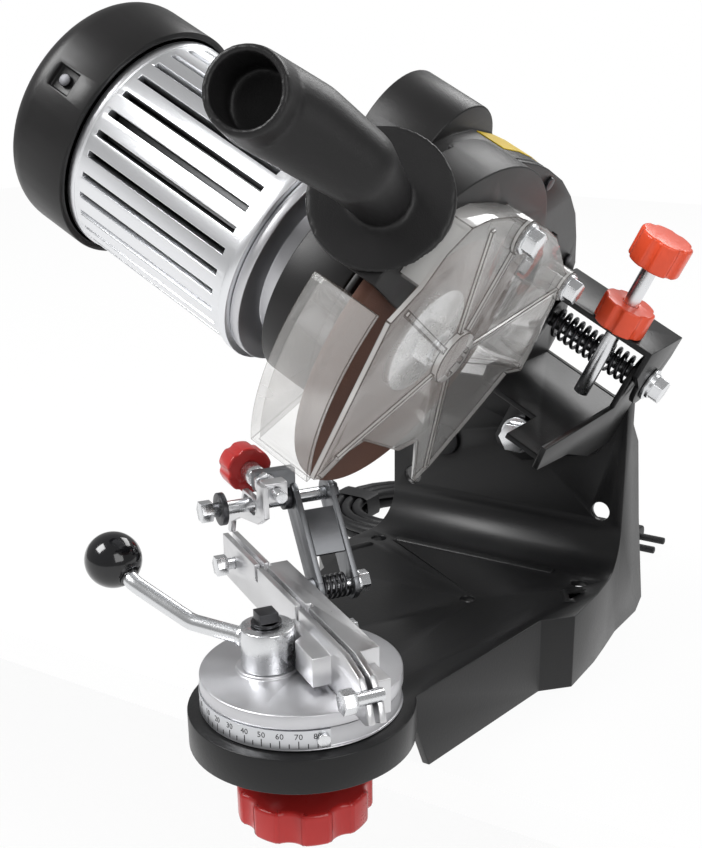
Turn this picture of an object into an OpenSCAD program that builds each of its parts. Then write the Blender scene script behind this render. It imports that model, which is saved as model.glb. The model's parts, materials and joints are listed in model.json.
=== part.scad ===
// Electric saw-chain sharpener for a bench edge or a wall.
// A tilting motor head with a clear-guarded grinding wheel swings down on a
// chain that a turning vise holds on the front end of a pressed steel bracket.
// Row frame: X to the wheel side, Y to the back, Z up, origin between the two
// bench bolt holes on the top face of the platform. Millimetres.

/* [Base bracket] */
// Thickness of the pressed steel sheet
sheet = 4; // [3:0.5:5]
// Width of the upright and of the bend
upright_w = 152; // [140:1:170]
// Width of the platform where it is widest
ear_w = 164; // [158:1:180]
// Width of the platform just in front of its step
waist_w = 138; // [120:1:150]
// Distance from the bench hole row back to the upright's face
upright_y = 34.6; // [30:0.2:45]
// Height of the upright above the platform
upright_h = 100; // [95:1:115]
// Depth of the flanges below the platform
skirt_h = 42; // [34:1:48]
// Depth of the rim of the round front seat
seat_rim_h = 17; // [12:1:22]
// Radius of the bend between platform and upright
bend_r = 22; // [16:1:24]
// Distance from the bench hole row forward to the step in width
step_y = 41; // [34:1:50]
// Distance between the two bench bolt holes
bench_pitch = 132; // [120:1:136]
// Diameter of the bench bolt holes
bench_hole_d = 9; // [7:0.5:11]
// Distance between the two wall bolt holes
wall_pitch = 125; // [110:1:130]
// Height of the wall bolt holes above the platform
wall_hole_z = 31; // [28:1:40]
// Diameter of the wall bolt holes
wall_hole_d = 11; // [8:0.5:13]
// Diameter of the single hole in the middle of the platform
front_hole_d = 8; // [6:0.5:10]
// Width of the pressed stiffening beads
bead_w = 6; // [4:0.5:8]

/* [Vise] */
// Sideways place of the vise axis
vise_x = 11; // [5:1:16]
// Distance of the vise axis in front of the bench hole row
vise_y = 189; // [180:1:200]
// Radius of the round front seat
seat_r = 52.7; // [48:0.1:60]
// Radius of the turntable
table_r = 46.5; // [40:0.5:48]
// Height of the turntable's top above the platform
table_h = 17.6; // [15:0.2:22]
// Angle at which the vise stands at rest
vise_turn = -32.5; // [-45:0.5:0]
// Height of the jaws' top above the platform
jaw_top = 41; // [37:0.5:46]
// Length of the jaws to the left of the vise axis
jaw_left = 116; // [100:1:120]
// Length of the jaws to the right of the vise axis
jaw_right = 67; // [60:1:75]
// Thickness of the front jaw plate
jaw_t = 3; // [2.5:0.5:4]
// Width of the groove that takes the chain's drive links
jaw_gap = 2.2; // [1.6:0.2:2.8]
// Distance of the front jaw's face behind the vise axis
jaw_n = 3; // [2:0.5:4]
// Thickness of the rear jaw's bar at its top
rear_bar_t = 12; // [10:0.5:14]
// Diameter of the clamping stud
stud_d = 12; // [10:1:14]
// Radius of the red clamping knob
clamp_r = 32; // [28:1:36]
// Height of the red clamping knob
clamp_h = 17; // [14:1:22]
// Height of the black collar above the clamping knob
collar_h = 20; // [16:1:24]

/* [Clamping lever] */
// Radius of the cam hub
hub_r = 12.4; // [11:0.2:13]
// Height of the cam hub above the turntable
hub_h = 21; // [18:0.5:24]
// Diameter of the lever rod
lever_d = 8; // [7:0.5:9]
// Radius of the ball at the lever's end
ball_r = 13.4; // [11:0.2:15]
// Diameter of the post that the hub turns on
post_d = 8; // [7:0.5:9]

/* [Chain stop] */
// Place of the stop's pivot along the jaws, from the vise axis to the left
stop_pivot_a = 50; // [44:1:56]
// Height of the stop's pivot
stop_pivot_z = 30; // [28:0.5:32]
// Place of the stop's rod along the jaws, from the vise axis to the left
stop_rod_a = 79; // [74:1:84]
// Height of the stop's rod
stop_rod_z = 69; // [65:0.5:74]
// Diameter of the stop's rod
stop_rod_d = 7; // [6:0.5:8]
// Length of the stop's rod in front of the vise axis
stop_rod_front = 14; // [12:1:18]
// Length of the stop's rod behind the vise axis
stop_rod_back = 53; // [50:1:58]
// Diameter of the stop's pivot bolt
stop_bolt_d = 6; // [5:0.5:7]

/* [Head mounting] */
// Sideways place of the tilting axis
tilt_x = 11; // [5:1:16]
// Height of the tilting axis above the platform
tilt_z = 70; // [64:1:74]
// Tilt of the head at rest
tilt = 26.7; // [0:0.1:35]
// Diameter of the tilting bolt
tilt_bolt_d = 10; // [8:1:12]
// Distance of the swing hinge behind the bench hole row
hinge_y = 14; // [12:0.5:16]
// Height of the swing hinge over the tilting axis
hinge_h = 78; // [74:0.5:82]
// Diameter of the swing hinge bolt
hinge_d = 8; // [7:0.5:10]
// Outer half width of the hinge fork
fork_half = 44; // [42:0.5:46]
// Thickness of the hinge fork's steel
fork_t = 3; // [2.5:0.5:4]

/* [Wheel and motor] */
// Distance of the wheel axis in front of the bench hole row
hub_y = 170.4; // [168:0.2:173]
// Height of the wheel axis over the tilting axis
hub_h_up = 114.8; // [112:0.2:118]
// Diameter of the grinding wheel
wheel_d = 145; // [140:1:146]
// Thickness of the grinding wheel
wheel_t = 5; // [3.2:0.1:5.5]
// Bore of the grinding wheel
wheel_bore = 22.2; // [20:0.1:23]
// Radius of the motor's finned body
motor_r = 48.7; // [46:0.1:50]
// Length of the motor's finned body
motor_len = 92; // [86:1:96]
// Distance from the wheel's plane to the motor's front ring
motor_off = 60; // [58:0.5:62]
// Number of slots around the motor's body
slot_n = 32; // [24:1:36]
// Width of one slot
slot_w = 2.8; // [2:0.1:3.4]
// Depth of one slot
slot_depth = 8; // [6:0.5:10]
// Radius of the black end cap
cap_r = 53; // [51:0.5:56]
// Length of the black end cap
cap_len = 36; // [30:1:40]
// Diameter of the motor shaft
shaft_d = 12; // [10:1:14]

/* [Guard] */
// Outer radius of the guard's rim
guard_r = 83; // [81:0.5:85]
// Wall thickness of the clear guard
guard_t = 2.5; // [2:0.5:3]
// Distance from the wheel's plane to the guard's motor-side wall
guard_left = 14.2; // [13:0.1:14.2]
// Distance from the wheel's plane to the outer face of the wheel cover
guard_right = 15; // [14:0.5:17]

/* [Depth stop] */
// Place of the depth screw along the hinge
depth_s = 29; // [27:0.5:31]
// Distance of the depth screw in front of the bench hole row
depth_y = 8; // [7:0.5:10]
// Diameter of the depth screw
depth_d = 8; // [6:0.5:9]
// Radius of the two red knobs
knob_r = 14; // [12:0.5:15]
// Height of the upper red knob
knob_h = 16; // [13:0.5:18]
// Height of the red lock knob
lock_h = 14; // [12:0.5:15]

/* [Handle] */
// Radius of the handle's guard disc
disc_r = 26.6; // [25:0.2:28]
// Radius of the grip at its middle
grip_r = 15.5; // [14:0.5:17]
// Radius of the grip's open end
grip_end_r = 14.5; // [13:0.5:16]

/* [Mains cord] */
// Diameter of the mains cord
cord_d = 7; // [6:0.5:8]
// Turns in one layer of the coil
coil_turns = 3; // [2:1:3]

/* [Hidden] */
$fn = 64;
fit = 0.05;          // running clearance of a pin in its bore
seat = 0.3;          // gap between pieces of different bodies that rest on each other
bench_z = -skirt_h;  // the bench plane under the flanges
over = 1;            // how far a cutter runs past what it cuts
black = [0.10, 0.10, 0.11];
zinc = [0.72, 0.73, 0.75];
cast = [0.60, 0.60, 0.61];
red = [0.80, 0.17, 0.10];
clear = [0.80, 0.80, 0.80, 0.4];
brown = [0.38, 0.24, 0.17];
copper = [0.72, 0.42, 0.25];

// Platform outline
up_x = upright_w / 2;
ear_x = ear_w / 2;
waist_x = waist_w / 2;
facet_y = 14;
front_x = 53.4;
front_y = vise_y - 25.5;
skirt_front = front_y - 15;
bead_r = bead_w / 2 + 1;
bead_rise = 1.6;

// Upright's side outline, measured back from the bench hole row
foot_back = 76.5;
mid_back = 62.6;
top_back = upright_y + 9.4;

// Vise
pilot_r = 14;
table_z0 = seat;
jaw_z0 = table_h + seat;
gap_n0 = jaw_n + jaw_t;
rear_n0 = gap_n0 + jaw_gap;
rear_n1 = rear_n0 + jaw_t;
bar_n1 = rear_n0 + rear_bar_t;
bar_left = 67;
bar_right = jaw_right - 10;
guide_left = jaw_left - 16;
guide_right = jaw_right - 6;
guide_z = 30;
guide_r = 3;
jaw_travel = 1.2;
hub_a = -5;
hub_n = jaw_n - 17;
post_a = hub_a - jaw_travel;
lever_z = jaw_z0 + 14;
knob_top = bench_z + seat;

// Head
wheel_r = wheel_d / 2;
face_s = -(motor_off + 2);
motor_end = face_s - motor_len;
cap_end = motor_end - cap_len;
ring_r = motor_r + 1.5;
shell_t = 3;
house_s0 = -46;
house_s1 = -17;
house_wall = 4;
boss_r = 46;
guard_s0 = -(guard_left + guard_t);
guard_s1 = guard_right;
cover_s0 = guard_s1 - guard_t;
bracket_left = 12;
arm_left = 14;
arm_top = hinge_h + 25;
arm_right = fork_half + 9;
ear_r = 13;
shelf_top = hinge_h - 25;
tip_h = hinge_h - 16;
lock_z = arm_top + seat;
rod_top = lock_z + lock_h + 22;
bolt_y1 = hub_y - 11.6;
bolt_h1 = hub_h_up + 55;
bolt_y2 = hub_y - 90;
bolt_h2 = hub_h_up + 18;

module head_place() {
  translate([tilt_x, 0, tilt_z]) rotate([0, tilt, 0]) children();
}

module vise_place() {
  translate([vise_x, -vise_y, 0]) rotate([0, 0, vise_turn]) children();
}

// Round bar along X from x0 to x1
module x_bar(x0, x1, r) {
  translate([x0, 0, 0]) rotate([0, 90, 0]) cylinder(h = x1 - x0, r = r);
}

// Round bar along Y from y0 to y1
module y_bar(y0, y1, r) {
  translate([0, y0, 0]) rotate([-90, 0, 0]) cylinder(h = y1 - y0, r = r);
}

// Hexagonal bar along X or Y
module x_hex(x0, x1, r) {
  translate([x0, 0, 0]) rotate([0, 90, 0]) cylinder(h = x1 - x0, r = r, $fn = 6);
}

module y_hex(y0, y1, r) {
  translate([0, y0, 0]) rotate([-90, 0, 0]) cylinder(h = y1 - y0, r = r, $fn = 6);
}

// A Y-Z outline extruded along X from x0 to x1
module x_plate(x0, x1) {
  translate([x0, 0, 0]) rotate([90, 0, 90]) linear_extrude(x1 - x0) children();
}

// An X-Z outline extruded along Y from y0 to y1
module y_plate(y0, y1) {
  translate([0, y1, 0]) rotate([90, 0, 0]) linear_extrude(y1 - y0) children();
}

// Hub of the wheel and of the motor, as an origin in the head's frame
module at_hub() {
  translate([0, -hub_y, hub_h_up]) children();
}

module at_hinge() {
  translate([0, hinge_y, hinge_h]) children();
}

// ---- Swept tubes -------------------------------------------------------
function unit(v) = v / norm(v);
function blend_point(a, b, c, d, t) =
  0.5 * (2 * b + (c - a) * t + (2 * a - 5 * b + 4 * c - d) * t * t
  + (3 * b - a - 3 * c + d) * t * t * t);
function pick(p, i) = p[max(0, min(len(p) - 1, i))];
function smooth_route(p, steps) = concat(
  [for (i = [0:len(p) - 2]) for (k = [0:steps - 1])
    blend_point(pick(p, i - 1), p[i], p[i + 1], pick(p, i + 2), k / steps)],
  [p[len(p) - 1]]);
function heading(p, i) = unit(pick(p, i + 1) - pick(p, i - 1));
function ring(c, t, ref, r, sides) =
  let (a = unit(cross(ref, t)), b = cross(t, a))
  [for (j = [0:sides - 1]) c + r * (cos(360 * j / sides) * a + sin(360 * j / sides) * b)];
function clearance(p, skip, r) = min([for (i = [0:len(p) - 1]) for (j = [i + skip:1:len(p) - 1])
  norm(p[i] - p[j])]) - 2 * r;

// One unbroken round tube along the points p; ref is never parallel to them
module tube(p, ref, r, sides) {
  last = len(p) - 1;
  points = [for (i = [0:last]) each ring(p[i], heading(p, i), ref, r, sides)];
  walls = [for (i = [0:last - 1]) for (j = [0:sides - 1])
    let (k = (j + 1) % sides, a = i * sides, b = a + sides)
    each [[a + j, b + j, b + k], [a + j, b + k, a + k]]];
  near_cap = [for (j = [1:sides - 2]) [0, j, j + 1]];
  far_cap = [for (j = [1:sides - 2]) [last * sides, last * sides + j + 1, last * sides + j]];
  polyhedron(points = points, faces = concat(walls, near_cap, far_cap), convexity = 8);
}

// ---- Base bracket ------------------------------------------------------
module platform_outline(inset) {
  polygon([[up_x - inset, foot_back + 10], [up_x - inset, upright_y],
    [(up_x + ear_x) / 2 - inset, upright_y - 24], [ear_x - 1 - inset, -8],
    [ear_x - inset, -step_y + inset * 0.4],
    [waist_x - inset, -step_y - facet_y + inset * 0.4], [front_x - inset, -front_y],
    [vise_x, -vise_y], [vise_x - seat_r - 1 + inset, -vise_y + 14],
    [inset - waist_x, -step_y - facet_y + inset * 0.4], [inset - ear_x, -step_y + inset * 0.4],
    [inset - ear_x + 1, -8], [inset - (up_x + ear_x) / 2, upright_y - 24],
    [inset - up_x, upright_y], [inset - up_x, foot_back + 10]]);
  translate([vise_x, -vise_y]) circle(r = seat_r - inset);
}

// Side view of the space in front of the upright and above the platform, grown by t
module open_side(t) {
  far = vise_y + seat_r + 2 * over;
  translate([-far, -t]) square([far + upright_y - bend_r, upright_h * 1.2]);
  translate([-far, bend_r]) square([far + upright_y + t, upright_h * 1.2]);
  translate([upright_y - bend_r, bend_r]) circle(r = bend_r + t);
}

// Side view of the whole pressing, flanges included
module side_outline() {
  front = -vise_y - seat_r - over;
  difference() {
    polygon([[front, upright_h], [top_back, upright_h], [top_back, upright_h - 17],
      [top_back + 9.4, upright_h - 29.4], [mid_back, 21], [foot_back, bench_z + 6.6],
      [foot_back - 8.9, bench_z], [-skirt_front, bench_z],
      [-skirt_front - 10, -seat_rim_h], [front, -seat_rim_h]]);
    open_side(0);
  }
}

// Side view of the hollow behind the upright and under the platform
module cavity_side() {
  front = -vise_y - seat_r;
  difference() {
    translate([front, bench_z - over])
      square([foot_back + over - front, upright_h + skirt_h + 2 * over]);
    open_side(sheet);
  }
}

module bead(path, plane) {
  depth = bead_r - bead_rise;
  for (i = [0:len(path) - 2]) {
    p = path[i];
    q = path[i + 1];
    span = norm(q - p);
    turn = atan2(q[1] - p[1], q[0] - p[0]);
    if (plane == "floor") {
      translate([p[0], p[1], -depth]) rotate([0, 0, turn]) x_bar(0, span, bead_r);
      translate([p[0], p[1], -depth]) sphere(r = bead_r);
    } else {
      translate([p[0], upright_y + depth, p[1]]) rotate([0, -turn, 0]) x_bar(0, span, bead_r);
      translate([p[0], upright_y + depth, p[1]]) sphere(r = bead_r);
    }
  }
}

module base_frame() {
  color(black) difference() {
    union() {
      difference() {
        intersection() {
          translate([0, 0, bench_z]) linear_extrude(upright_h + skirt_h) platform_outline(0);
          x_plate(-ear_x - over, ear_x + over) side_outline();
        }
        intersection() {
          translate([0, 0, bench_z - 2 * over])
            linear_extrude(upright_h + skirt_h + 4 * over) platform_outline(sheet);
          x_plate(-ear_x - over, ear_x + over) cavity_side();
        }
      }
      intersection() {
        union() {
          bead([[-54, 5], [47, 7], [65, -15], [72, -26]], "floor");
          bead([[-54, 5], [-66, -12], [-72, -26]], "floor");
        }
        translate([-ear_x, -step_y, -sheet + seat]) cube([ear_w, step_y + upright_y, sheet * 2]);
      }
      intersection() {
        union() {
          bead([[-25, 24], [15, 24], [42, 26], [59, 41], [72, 43]], "wall");
          bead([[-25, 24], [-42, 26], [-59, 41], [-72, 43]], "wall");
        }
        translate([-up_x, upright_y - sheet, 0]) cube([upright_w, 2 * sheet - seat, upright_h]);
      }
    }
    for (x = [-bench_pitch / 2, bench_pitch / 2])
      translate([x, 0, -sheet - over]) cylinder(h = sheet + 2 * over + bead_rise, d = bench_hole_d);
    for (x = [-wall_pitch / 2, wall_pitch / 2])
      translate([x, 0, wall_hole_z])
        y_bar(upright_y - over - bead_rise, upright_y + sheet + over, wall_hole_d / 2);
    translate([up_x * 0.3, -step_y - 9.7, -sheet - over])
      cylinder(h = sheet + 2 * over, d = front_hole_d);
    translate([vise_x, -vise_y, -sheet - over]) cylinder(h = sheet + 2 * over, r = pilot_r + fit);
    translate([tilt_x, 0, tilt_z])
      y_bar(upright_y - over, upright_y + sheet + over, tilt_bolt_d / 2 + fit);
    translate([cord_x, 0, cord_z]) y_bar(upright_y - over, upright_y + sheet + over, grommet_r);
  }
}

// ---- Cord --------------------------------------------------------------
cord_x = -40;
cord_z = 58;
grommet_r = 7;
cord_r = cord_d / 2;
lie_z = bench_z + cord_r + 0.2;
grommet_end = upright_y + sheet + 12;
coil_pitch = cord_d + 0.8;
coil_in = 31;
coil_c = [-122, 124];
coil_half = coil_turns;
function ease(x) = x < 0.25 ? 2 * x * x : x - 0.125;
function coil_radius(t) = coil_in + coil_pitch * ease(abs(t - coil_half));
function climb(x) = let (c = max(0, min(1, x))) c * c * (3 - 2 * c);
function coil_point(t) = [coil_c[0] + coil_radius(t) * cos(360 * t),
  coil_c[1] + coil_radius(t) * sin(360 * t),
  lie_z + coil_pitch * climb((t - coil_half + 0.25) * 2)];
coil_points = [for (i = [0:48 * coil_half]) coil_point(i / 24)];
coil_start = coil_points[0];
coil_stop = coil_points[len(coil_points) - 1];
lead_route = [[cord_x, grommet_end + 0.2, cord_z], [cord_x, grommet_end + 8, cord_z],
  [-41, 70, 55], [-43, 81, 46], [-47, 88, 32], [-52, 92, 16], [-57, 95, 0], [-61, 98, -14],
  [-64, 102, -27], [-66, 107, -35.4], [-68, 113, lie_z], coil_start - [0, 5, 0],
  coil_start - [0, 0.6, 0]];
tail_route = [coil_stop + [0, 0.6, 0], coil_stop + [0, 7, 0], [-67, 140, -31], [-62, 149, -33],
  [-54, 157, -36], [-44, 162, -38.2], [-32, 164, -38.3], [-20, 164, lie_z], [-12, 164, lie_z]];
lead_points = smooth_route(lead_route, 4);
tail_points = smooth_route(tail_route, 4);
plug_at = tail_route[len(tail_route) - 1];
echo("least gap inside the coil", clearance(coil_points, 18, cord_r));

module cord_grommet() {
  color(black) translate([cord_x, 0, cord_z]) difference() {
    union() {
      y_bar(upright_y - 2.3, upright_y - seat, grommet_r + 2.5);
      y_bar(upright_y - seat, grommet_end - 0.02, grommet_r - fit);
      y_bar(upright_y + sheet + seat, upright_y + sheet + 3, grommet_r + 2.5);
    }
    y_bar(upright_y - 2.3 - over, upright_y + sheet, cord_r - 1);
  }
}

module cord_lead() {
  color(black) tube(lead_points, [1, 0, 0], cord_r, 8);
}

module cord_coil() {
  color(black) tube(coil_points, [0, 0, 1], cord_r, 6);
}

module cord_tail() {
  color(black) tube(tail_points, [0, 0, 1], cord_r, 8);
}

module mains_plug() {
  sleeve = 14;
  body = 34;
  tip = plug_at[0] + 0.02;
  color(black) translate([0, plug_at[1], 0]) {
    translate([0, 0, plug_at[2]]) x_bar(tip, tip + sleeve, cord_r + 1.2);
    translate([tip + sleeve, 0, plug_at[2] + 1.5]) difference() {
      union() {
        x_bar(0, body, 9.5);
        translate([0, -17, -5]) cube([body, 34, 10]);
        translate([0, 17, 0]) x_bar(0, body, 5);
        translate([0, -17, 0]) x_bar(0, body, 5);
      }
      translate([-over, -30, -20]) cube([body + 2 * over, 60, 20 - 5.2]);
    }
    for (y = [-9.5, 9.5])
      translate([0, y, plug_at[2] + 1.5]) x_bar(tip + sleeve + body, tip + sleeve + body + 19, 2.4);
  }
}

// ---- Tilting bolt with its nut ------------------------------------------
module tilt_bolt() {
  front = upright_y - seat - fork_t - seat;
  back = upright_y + sheet + seat;
  color(zinc) translate([tilt_x, 0, tilt_z]) {
    y_hex(front - 2.2 - 6.4, front - 2.2, 9);
    y_bar(front - 2.2, front, 10.5);
    y_bar(front, upright_y + sheet + 16, tilt_bolt_d / 2);
    difference() {
      union() {
        y_bar(back, back + 2.2, 10.5);
        y_hex(back + 2.2, back + 10, 9);
      }
      y_bar(back - over, back + 10 + over, tilt_bolt_d / 2 + fit);
    }
  }
}

// ---- Vise --------------------------------------------------------------
module turntable() {
  color(cast) vise_place() difference() {
    union() {
      translate([0, 0, table_z0]) cylinder(h = table_h - table_z0, r = table_r);
      translate([0, 0, -sheet]) cylinder(h = sheet + over, r = pilot_r);
      translate([post_a, hub_n, table_h - over]) cylinder(h = over + 1.5, r = hub_r + 2);
    }
    translate([0, 0, -sheet - over]) cylinder(h = sheet + over + table_h - 4, d = stud_d + 2 * fit);
    translate([post_a, hub_n, table_h - 6]) cylinder(h = 8 + over, d = post_d + 2 * fit);
    difference() {
      translate([0, 0, strip_z0 - 0.2]) cylinder(h = strip_h + 0.4, r = table_r + over);
      translate([0, 0, strip_z0 - 0.2 - over]) cylinder(h = strip_h + 2, r = table_r - 0.8);
    }
  }
}

strip_z0 = 1.6;
strip_h = 9;
strip_from = -7;
strip_sweep = 176;

module scale_strip() {
  color(zinc) vise_place() difference() {
    rotate([0, 0, strip_from - strip_sweep]) rotate_extrude(angle = strip_sweep)
      translate([table_r - 0.5, strip_z0]) square([1, strip_h]);
    for (turn = [strip_from - 4, strip_from - strip_sweep + 4])
      rotate([0, 0, turn]) translate([0, 0, strip_z0 + strip_h / 2])
        x_bar(table_r - 2, table_r + 2, 1.7);
  }
}

module scale_screws() {
  color(zinc) vise_place() for (turn = [strip_from - 4, strip_from - strip_sweep + 4])
    rotate([0, 0, turn]) translate([0, 0, strip_z0 + strip_h / 2]) {
      x_bar(table_r - 0.7, table_r + 0.7, 1.6);
      x_bar(table_r + 0.7, table_r + 2.4, 3);
    }
}

// Outline of one jaw plate, seen from the front
module jaw_outline(left, right) {
  notch = 8;
  difference() {
    polygon([[-left, jaw_z0 + 4], [-left + 3, jaw_z0], [right - 18, jaw_z0],
      [right - 5, jaw_z0 - 0.2], [right, jaw_z0 + 2], [right - 3, jaw_z0 + 10],
      [right - 11, jaw_top - 4], [right - 26, jaw_top], [-left, jaw_top]]);
    for (a = [-jaw_left + 50, -jaw_left + 104])
      translate([a - 2, jaw_top - notch]) square([4, notch + over]);
  }
}

module rear_jaw() {
  color(zinc) vise_place() difference() {
    union() {
      y_plate(rear_n0, rear_n1) jaw_outline(jaw_left, jaw_right);
      translate([-bar_left, rear_n1 - seat, jaw_z0])
        cube([bar_left + bar_right - 16, bar_n1 - rear_n1 + seat, jaw_top - jaw_z0]);
      translate([bar_right - 16 - over, rear_n1 - seat, jaw_z0])
        cube([16 + over, bar_n1 - rear_n1 - 2, jaw_top - jaw_z0 - 7]);
    }
    for (a = [-guide_left, guide_right])
      translate([a, 0, guide_z]) y_bar(rear_n0 - over, rear_n1 + 1.5, guide_r + fit);
    translate([-stop_pivot_a, 0, stop_pivot_z])
      y_bar(rear_n1, bar_n1 + over, stop_bolt_d / 2 + fit);
    translate([0, 0, guide_z]) y_bar(rear_n1 + 3, bar_n1 + over, guide_r + fit);
  }
}

module front_jaw() {
  shoe_n0 = hub_n + hub_r + 0.4;
  color(zinc) vise_place() difference() {
    union() {
      y_plate(jaw_n, gap_n0) jaw_outline(jaw_left, jaw_right);
      translate([0, 0, jaw_z0 + 3]) linear_extrude(14)
        polygon([[-14, shoe_n0], [4, shoe_n0], [8, jaw_n - 9], [28, jaw_n - 9],
          [28, jaw_n + 0.5], [-14, jaw_n + 0.5]]);
    }
    for (a = [-guide_left, guide_right])
      translate([a, 0, guide_z]) y_bar(jaw_n - over, gap_n0 + over, guide_r + fit);
  }
}

// The two screws that guide the front jaw, and the one that holds the rear jaw
module jaw_screws() {
  color(zinc) vise_place() {
    for (a = [-guide_left, guide_right]) translate([a, 0, guide_z]) {
      y_bar(jaw_n - 4, rear_n1 + 1, guide_r);
      y_hex(jaw_n - 10, jaw_n - 4, 5.6);
    }
    translate([0, 0, guide_z]) {
      y_bar(rear_n1 + 4, bar_n1 + seat, guide_r);
      y_bar(bar_n1 + seat, bar_n1 + 1.8, 6.5);
      y_hex(bar_n1 + 1.8, bar_n1 + 7, 5.6);
    }
  }
}

module cam_post() {
  top = jaw_z0 + hub_h;
  color(black) vise_place() translate([post_a, hub_n, 0]) {
    translate([0, 0, table_h - 5]) cylinder(h = top - table_h + 5.3, d = post_d);
    translate([0, 0, top + seat]) cylinder(h = 1.6, r = post_d / 2 + 3);
    translate([-4.5, -4.5, top + 1.9]) cube([9, 9, 4.6]);
  }
}

module cam_hub() {
  color(zinc) vise_place() difference() {
    union() {
      translate([hub_a, hub_n, table_h + 1.8]) cylinder(h = jaw_z0 + hub_h - table_h - 1.8, r = hub_r);
      translate([hub_a, hub_n, 0]) translate(lever_from) sphere(r = lever_d / 2 + 1);
    }
    translate([post_a, hub_n, table_h]) cylinder(h = hub_h + 4, d = post_d + 2 * fit);
    translate([hub_a, hub_n, 0]) link(lever_from, lever_knee, lever_d / 2 + fit);
  }
}

lever_from = [-8, -9, lever_z];
lever_knee = [-24.6, -27.8, lever_z + 4];
lever_bend = [-47, -47, lever_z + 18];
lever_tip = [-58, -51.5, lever_z + 24];

// Round rod between two points
module link(p, q, r) {
  d = q - p;
  translate(p) rotate([0, acos(d[2] / norm(d)), atan2(d[1], d[0])]) cylinder(h = norm(d), r = r);
}

lever_way1 = unit(lever_knee - lever_from);
lever_way2 = unit(lever_bend - lever_knee);
lever_way3 = unit(lever_tip - lever_bend);
lever_points = [lever_from, lever_knee - 4 * lever_way1, lever_knee - lever_way1,
  lever_knee + lever_way2, lever_knee + 4 * lever_way2, lever_bend - 4 * lever_way2,
  lever_bend - lever_way2, lever_bend + lever_way3, lever_bend + 3 * lever_way3, lever_tip];
ball_past_tip = 3.7;

module lever_rod() {
  color(zinc) vise_place() translate([hub_a, hub_n, 0])
    tube(lever_points, [0, 0, 1], lever_d / 2, 20);
}

module lever_ball() {
  way = lever_way3;
  color(black) vise_place() translate([hub_a, hub_n, 0])
    translate(lever_tip + ball_past_tip * way)
    rotate([0, acos(way[2]), atan2(way[1], way[0])]) rotate_extrude() difference() {
      intersection() {
        circle(r = ball_r);
        translate([0, -ball_r]) square([ball_r, 2 * ball_r]);
      }
      translate([-over, -ball_r - over])
        square([lever_d / 2 + fit + over, ball_r + over - ball_past_tip + seat]);
    }
}

// Lobed round knob standing on z = 0
module knob_body(r, h, lobes) {
  difference() {
    cylinder(h = h, r = r);
    for (i = [0:lobes - 1]) rotate([0, 0, 360 * (i + 0.5) / lobes])
      translate([r + r * 0.2, 0, -over]) cylinder(h = h + 2 * over, r = r * 0.28);
  }
}

module clamp_stud() {
  color(zinc) translate([vise_x, -vise_y, 0]) {
    translate([0, 0, knob_top - clamp_h + 5]) cylinder(h = clamp_h - knob_top + table_h - 10, d = stud_d);
    translate([0, 0, -sheet - seat - 2.5]) cylinder(h = 2.5, r = pilot_r + 6);
  }
}

module clamp_collar() {
  color(black) translate([vise_x, -vise_y, 0]) difference() {
    translate([0, 0, knob_top]) cylinder(h = -sheet - seat - 2.5 - knob_top, r = pilot_r);
    translate([0, 0, knob_top - over]) cylinder(h = clamp_h + collar_h * 2, d = stud_d + 2 * fit);
  }
}

module clamp_knob() {
  color(red) translate([vise_x, -vise_y, knob_top - clamp_h]) difference() {
    knob_body(clamp_r, clamp_h, 8);
    translate([0, 0, 4]) cylinder(h = clamp_h, d = stud_d + 2 * fit);
  }
}

// ---- Chain stop --------------------------------------------------------
cheek_t = 3;
cheek_n0 = bar_n1 + 7;
cheek_n1 = cheek_n0 + 19;
stop_screw_n = 13;
stop_screw_z = stop_rod_z + 11;
stop_screw_r = 3;
lug_a = -stop_rod_a - 5;
tongue_travel = 5;
nut_a = lug_a + 6.4;
stop_knob_r = 12;
ring_len = 12;

module stop_bolt() {
  color(zinc) vise_place() translate([-stop_pivot_a, 0, stop_pivot_z]) {
    y_bar(rear_n1 + 1, cheek_n1 + cheek_t + 6, stop_bolt_d / 2);
    y_bar(bar_n1 + seat, cheek_n0 - seat, 6);
    y_bar(cheek_n1 + cheek_t + seat, cheek_n1 + cheek_t + 1.8, 6.5);
    y_hex(cheek_n1 + cheek_t + 1.8, cheek_n1 + cheek_t + 7, 5.6);
  }
}

// The cheek joins the pivot to the rod and, in front, carries the screw's lug
module cheek_outline(high) {
  p = [-stop_pivot_a, stop_pivot_z];
  q = [-stop_rod_a, stop_rod_z];
  translate(p) circle(r = 8);
  translate(q) circle(r = 8);
  polygon([p + [-7.5, -2.8], p + [6, 5.3], q + [6, 5.3], q + [-7.5, -2.8]]);
  if (high) translate([lug_a, stop_rod_z]) square([6, stop_screw_z - stop_rod_z + 5]);
}

module stop_plate() {
  color(black) vise_place() difference() {
    union() {
      y_plate(cheek_n0, cheek_n0 + cheek_t) cheek_outline(true);
      y_plate(cheek_n1, cheek_n1 + cheek_t) cheek_outline(false);
      translate([-stop_pivot_a - 3.2, cheek_n0, stop_pivot_z + 16.6]) rotate([0, -126.6, 0])
        cube([24, cheek_n1 - cheek_n0 + cheek_t, cheek_t]);
      translate([lug_a, rear_n1 - 2, stop_screw_z - 5])
        cube([6, cheek_n0 - rear_n1 + 2 + cheek_t, 10]);
    }
    translate([-stop_pivot_a, 0, stop_pivot_z])
      y_bar(cheek_n0 - over, cheek_n1 + cheek_t + over, stop_bolt_d / 2 + fit);
    translate([-stop_rod_a, 0, stop_rod_z])
      y_bar(cheek_n0 - over, cheek_n1 + cheek_t + over, stop_rod_d / 2 + fit);
    translate([0, stop_screw_n, stop_screw_z]) x_bar(lug_a - over, lug_a + 6 + over, stop_screw_r + fit);
  }
}

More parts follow.
